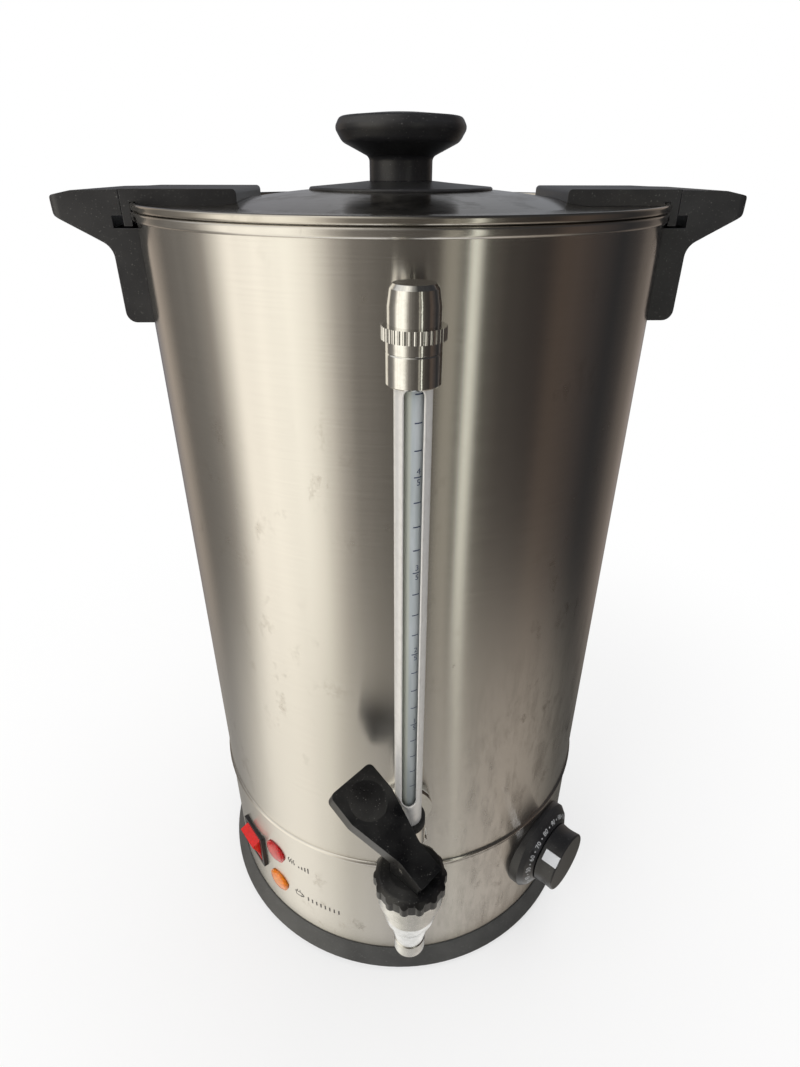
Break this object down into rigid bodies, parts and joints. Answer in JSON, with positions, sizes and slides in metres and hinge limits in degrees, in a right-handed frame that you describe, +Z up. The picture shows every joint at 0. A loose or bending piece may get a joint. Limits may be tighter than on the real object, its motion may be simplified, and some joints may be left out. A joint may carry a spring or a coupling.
{
  "type": "hot water urn",
  "caption": "Stainless catering urn with a self-closing lever tap, a sight gauge, a thermostat dial, a rocker switch and a lift-off lid.",
  "frame": {"origin": "centre of the base, on the table that the feet stand on", "axes": "+Z up along the tank's axis; the tap and the sight gauge face -Y, and +X is to the right seen from the front"},
  "size_m": [0.3314, 0.335, 0.5092],
  "materials": {
    "brushed_stainless": "brushed round the drum",
    "polished_steel": "polished",
    "zinc_steel": "zinc plated",
    "galvanised_sheet": "galvanised",
    "chrome": "plated, polished",
    "brass": "bright",
    "cast_aluminium": "as cast",
    "element_sheath": "heat-darkened",
    "grey_plastic": "moulded, satin",
    "black_plastic": "moulded, satin",
    "cream_plastic": "moulded",
    "red_rocker": "moulded, glossy",
    "red_lens": "translucent, glossy",
    "amber_lens": "translucent, glossy",
    "silver_insert": "metallised",
    "gauge_glass": "clear",
    "black_rubber": "moulded",
    "white_silicone": "moulded",
    "red_insulation": "silicone sleeve"
  },
  "bodies": {
    "urn": {"tank": "brushed_stainless", "base_skirt": "brushed_stainless", "base_ring": "grey_plastic", "bottom_cover": "galvanised_sheet", "cover_screws": "zinc_steel", "rubber_feet": "black_rubber", "heat_spreader": "cast_aluminium", "heating_element": "element_sheath", "keep_warm_element": "element_sheath", "thermal_cutout": "black_plastic", "thermostat_body": "cream_plastic", "thermostat_sensor": "brass", "thermostat_screws": "zinc_steel", "power_inlet": "black_plastic", "inlet_pins": "chrome", "inlet_screws": "zinc_steel", "terminal_block": "cream_plastic", "earth_stud": "brass", "wiring": "red_insulation", "dial_bezel": "black_plastic", "switch_frame": "black_plastic", "heat_lamp_lens": "red_lens", "warm_lamp_lens": "amber_lens", "lamp_bodies": "black_plastic", "gauge_elbow": "chrome", "gauge_guard": "polished_steel", "gauge_glass": "gauge_glass", "gauge_collar": "chrome", "gauge_base_seal": "black_rubber", "gauge_top_seal": "black_rubber", "gauge_outer_seal": "white_silicone", "gauge_inner_seal": "white_silicone", "gauge_nut": "chrome", "tap_body": "chrome", "tap_outer_seal": "white_silicone", "tap_inner_seal": "white_silicone", "tap_nut": "chrome", "side_handle_left": "black_plastic", "side_handle_right": "black_plastic", "handle_screws": "zinc_steel", "handle_washers": "white_silicone"},
    "dial": {"thermostat_spindle": "zinc_steel", "dial_knob": "black_plastic", "dial_pointer": "silver_insert"},
    "rocker": {"switch_rocker": "red_rocker"},
    "sight_cap": {"gauge_cap": "chrome"},
    "tap_head": {"tap_bonnet": "black_plastic", "tap_spring": "polished_steel"},
    "valve": {"tap_stem": "polished_steel", "tap_seat_seal": "white_silicone", "lever_pin": "polished_steel"},
    "lever": {"tap_lever": "black_plastic"},
    "lid_group": {"lid": "brushed_stainless", "knob_base": "black_plastic", "lid_knob": "black_plastic", "knob_screw": "zinc_steel", "knob_washer": "white_silicone", "lid_arm_left": "black_plastic", "lid_arm_right": "black_plastic", "lid_arm_screws": "zinc_steel"}
  },
  "joints": [
    {"name": "dial_turn", "type": "hinge", "parent": "urn", "child": "dial", "pos_m": [0.09518, -0.09001, 0.0685], "axis": [0.7266, -0.6871, 0], "range_deg": [-98, 92]},
    {"name": "rocker_press", "type": "hinge", "parent": "urn", "child": "rocker", "pos_m": [-0.10275, -0.07465, 0.0604], "axis": [0.5878, -0.809, 0], "range_deg": [-32, 0]},
    {"name": "gauge_cap_turn", "type": "hinge", "parent": "urn", "child": "sight_cap", "pos_m": [0, -0.1495, 0.44], "axis": [0, 0, 1], "range_deg": [0, 360]},
    {"name": "tap_turn", "type": "hinge", "parent": "urn", "child": "tap_head", "pos_m": [0, -0.179, 0.17], "axis": [0, 0, 1], "range_deg": [0, 220]},
    {"name": "tap_stem_lift", "type": "slide", "parent": "tap_head", "child": "valve", "axis": [0, 0, 1], "range_m": [0, 0.0031], "deforming": ["tap_spring"]},
    {"name": "tap_lever_tilt", "type": "hinge", "parent": "valve", "child": "lever", "pos_m": [0, -0.179, 0.1852], "axis": [-0.6934, -0.7206, 0], "range_deg": [0, 25]},
    {"name": "lid_lift", "type": "slide", "parent": "urn", "child": "lid_group", "axis": [0, 0, 1], "range_m": [0, 0.12]}
  ],
  "couplings": [
    {"joint": "tap_stem_lift", "follows": "tap_lever_tilt", "m_per_rad": 0.007}
  ]
}
